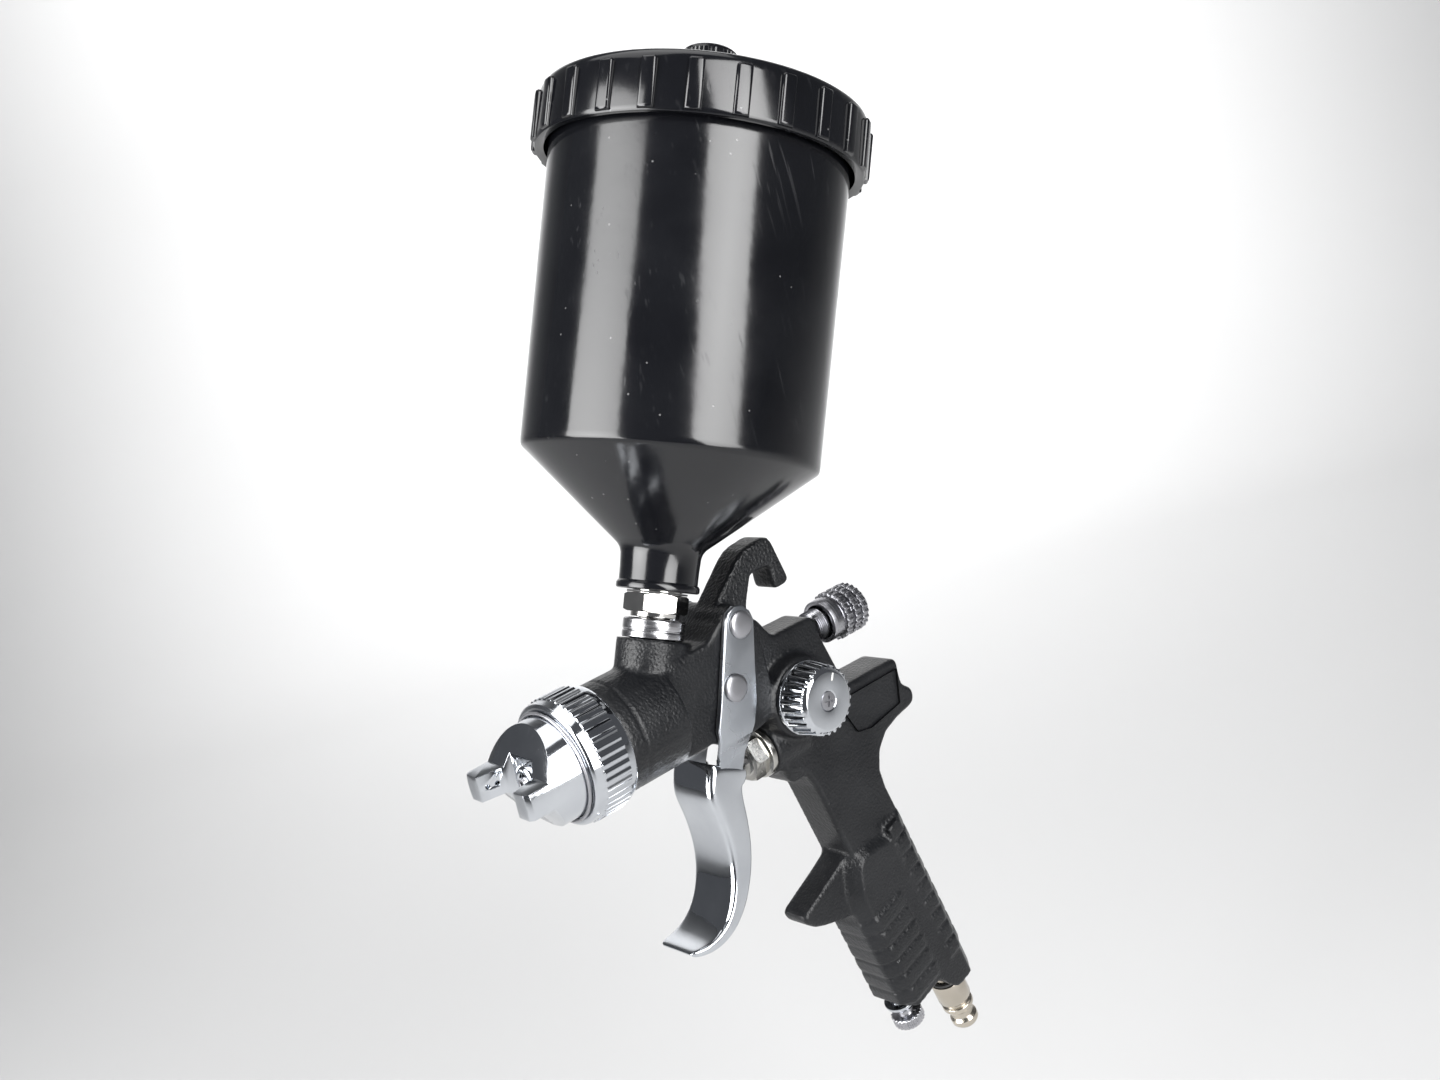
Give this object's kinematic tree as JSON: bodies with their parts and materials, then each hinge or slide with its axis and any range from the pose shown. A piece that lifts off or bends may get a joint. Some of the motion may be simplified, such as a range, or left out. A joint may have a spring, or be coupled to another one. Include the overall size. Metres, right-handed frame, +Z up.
{
  "type": "hvlp spray gun",
  "caption": "Gravity-feed HVLP paint spray gun with a tilted screw-in cup, chrome trigger and air cap, side pattern knob, and grip with air inlet plug.",
  "frame": {"origin": "middle of the hanging face under the body's hook, in the gun's middle plane", "axes": "+Z up with the gun hanging from its hook and the spray axis level; the gun sprays along -X; -Y is the user's left, where the pattern knob is"},
  "size_m": [0.1796, 0.1032, 0.3524],
  "materials": {
    "cast_black": "satin black coat on fine-grained cast aluminium",
    "chrome": "bright plated",
    "turned_steel": "turned, fine rings",
    "nickel": "satin nickel plate",
    "brass": "turned",
    "seal": "moulded",
    "black_plastic": "gloss moulded with hairline scratches",
    "white_plastic": "moulded, translucent"
  },
  "bodies": {
    "gun": {"gun_body": "cast_black", "fluid_nozzle": "turned_steel", "air_distributor": "brass", "port_collar": "turned_steel", "fluid_sleeve": "turned_steel", "air_valve_nut": "nickel", "needle_packing": "seal", "packing_screw": "brass", "needle_spring": "turned_steel", "air_valve_spring": "turned_steel", "trigger_pivot_pin": "turned_steel", "trigger_pivot_cap": "turned_steel", "pattern_bush": "brass", "regulator_collar": "chrome", "inlet_seal": "seal", "air_inlet_plug": "nickel"},
    "trigger": {"trigger": "chrome", "trigger_push_pin": "turned_steel"},
    "needle": {"fluid_needle": "turned_steel", "needle_collar": "brass", "needle_spring_seat": "turned_steel"},
    "air_valve": {"air_valve_stem": "turned_steel", "air_valve_seal": "seal"},
    "fluid_adjuster": {"fluid_knob": "turned_steel"},
    "pattern_adjuster": {"pattern_knob": "chrome", "pattern_knob_screw": "turned_steel", "pattern_spindle": "turned_steel"},
    "regulator": {"regulator_knob": "turned_steel", "regulator_spindle": "turned_steel"},
    "cap_ring": {"air_cap_ring": "chrome", "cap_wire_ring": "turned_steel"},
    "cap": {"air_cap": "chrome"},
    "cup": {"cup_shell": "black_plastic", "cup_fitting": "nickel", "cup_seal": "seal", "cup_strainer": "white_plastic"},
    "lid_ring": {"lid_gasket": "seal"},
    "lid": {"cup_lid": "black_plastic"},
    "vent": {"lid_vent_knob": "black_plastic"}
  },
  "joints": [
    {"name": "trigger_pull", "type": "hinge", "parent": "gun", "child": "trigger", "pos_m": [-0.0199, 0, -0.0098], "axis": [0, -1, 0], "range_deg": [0, 11], "stiffness_Nm_per_rad": 2.5, "springref_deg": -17.19},
    {"name": "needle_draw", "type": "slide", "parent": "gun", "child": "needle", "axis": [1, 0, 0], "range_m": [0, 0.0036], "deforming": ["needle_spring"]},
    {"name": "valve_push", "type": "slide", "parent": "gun", "child": "air_valve", "axis": [1, 0, 0], "range_m": [0, 0.0098], "deforming": ["air_valve_spring"]},
    {"name": "fluid_turn", "type": "hinge", "parent": "gun", "child": "fluid_adjuster", "pos_m": [0.03, 0, -0.0272], "axis": [1, 0, 0], "range_deg": [0, 1080]},
    {"name": "pattern_turn", "type": "hinge", "parent": "gun", "child": "pattern_adjuster", "pos_m": [-0.0012, -0.02, -0.0422], "axis": [0, -1, 0], "range_deg": [0, 270]},
    {"name": "regulator_turn", "type": "hinge", "parent": "gun", "child": "regulator", "pos_m": [0.0169, 0, -0.16541], "axis": [0.2419, 0, -0.9703], "range_deg": [0, 720]},
    {"name": "cap_ring_turn", "type": "hinge", "parent": "gun", "child": "cap_ring", "pos_m": [-0.08, 0, -0.0272], "axis": [-1, 0, 0], "range_deg": [0, 720]},
    {"name": "cap_turn", "type": "hinge", "parent": "gun", "child": "cap", "pos_m": [-0.1, 0, -0.0272], "axis": [-1, 0, 0], "range_deg": [-90, 90]},
    {"name": "cup_unscrew", "type": "hinge", "parent": "gun", "child": "cup", "pos_m": [-0.0532, 0, -0.0272], "axis": [0.4384, 0, 0.8988], "range_deg": [0, 1080]},
    {"name": "lid_lift", "type": "slide", "parent": "cup", "child": "lid_ring", "axis": [0.4384, 0, 0.8988], "range_m": [0, 0.06]},
    {"name": "lid_turn", "type": "hinge", "parent": "lid_ring", "child": "lid", "pos_m": [-0.0532, 0, -0.0272], "axis": [0.4384, 0, 0.8988], "range_deg": [0, 360]},
    {"name": "vent_turn", "type": "hinge", "parent": "lid", "child": "vent", "pos_m": [-0.0532, 0, -0.0272], "axis": [0.4384, 0, 0.8988], "range_deg": [0, 90]}
  ],
  "couplings": [
    {"joint": "needle_draw", "follows": "trigger_pull", "m_per_rad": 0.0174},
    {"joint": "valve_push", "follows": "trigger_pull", "m_per_rad": 0.05}
  ]
}
